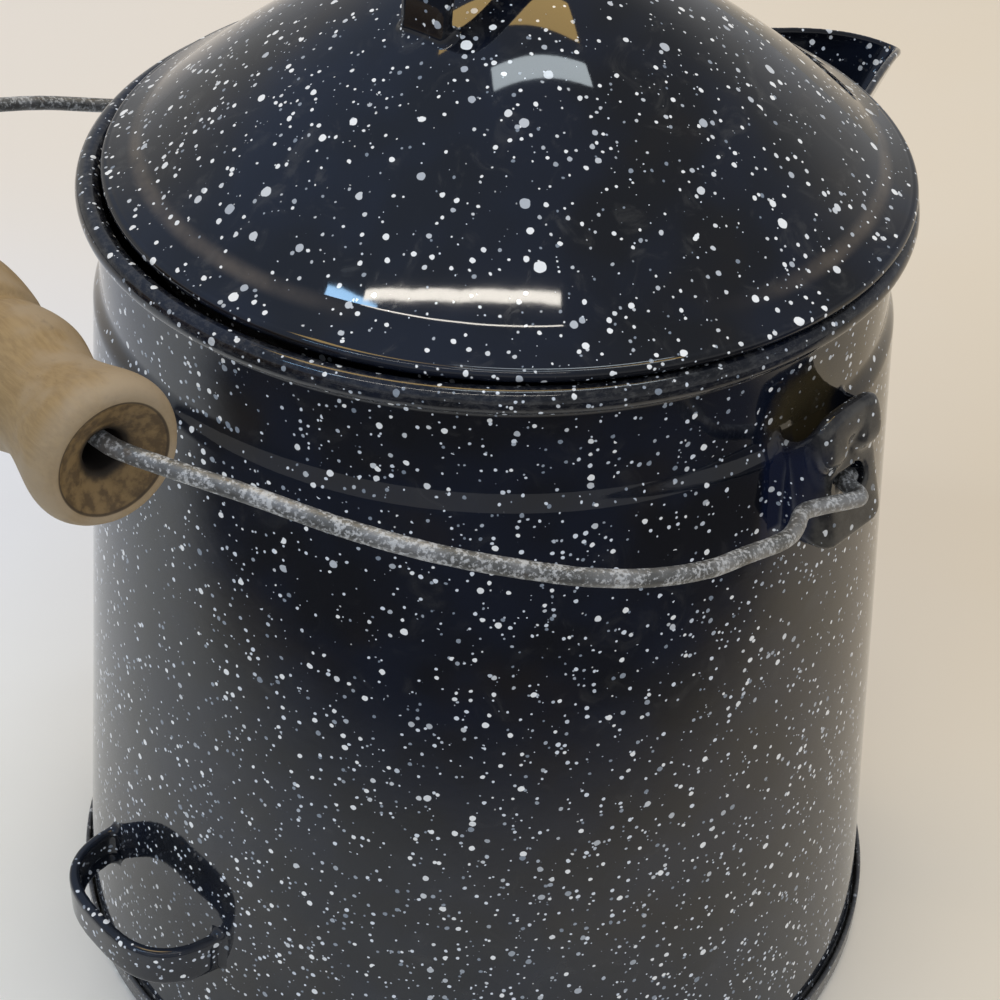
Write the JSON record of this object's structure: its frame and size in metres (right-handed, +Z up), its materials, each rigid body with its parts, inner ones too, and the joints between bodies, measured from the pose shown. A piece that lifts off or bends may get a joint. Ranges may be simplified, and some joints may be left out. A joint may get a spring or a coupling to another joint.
{
  "type": "enamel coffee pot",
  "caption": "Large conical enamelled coffee pot with lift-off domed lid, folded pouring spout, tilt handle and swinging wire bail with turned wooden grip.",
  "frame": {"origin": "centre of the flat bottom, which the pot rests on", "axes": "+Z up along the body's centre line; +X towards the spout; the tilt handle and the resting bail lie towards -X; the ears face +Y and -Y, with the bail's pivots 12.2 mm nearer the spout than the centre line"},
  "size_m": [0.2904, 0.2432, 0.298],
  "materials": {
    "enamel_body": "glossy near-black navy enamel with fine white speckles, on steel sheet",
    "enamel_lid": "glossy near-black navy enamel with larger white speckles, on steel sheet",
    "wire_steel": "dull, mottled galvanised steel wire",
    "worn_wood": "bare turned wood, worn and a little soiled"
  },
  "bodies": {
    "pot": {"body_shell": "enamel_body", "bottom_pan": "enamel_body", "spout": "enamel_body", "ear_near": "enamel_body", "ear_far": "enamel_body", "tilt_handle": "enamel_body"},
    "bail": {"bail_wire": "wire_steel"},
    "grip": {"bail_grip": "worn_wood"},
    "lid": {"lid_shell": "enamel_lid", "lid_collar": "enamel_lid", "lid_handle": "enamel_lid"}
  },
  "joints": [
    {"name": "bail_swing", "type": "hinge", "parent": "pot", "child": "bail", "pos_m": [0.0122, 0, 0.1805], "axis": [0, 1, 0], "range_deg": [0, 145]},
    {"name": "grip_spin", "type": "hinge", "parent": "bail", "child": "grip", "pos_m": [-0.13454, 0, 0.22257], "axis": [0, 1, 0], "continuous": true},
    {"name": "lid_lift", "type": "slide", "parent": "pot", "child": "lid", "axis": [0, 0, 1], "range_m": [0, 0.12]}
  ]
}
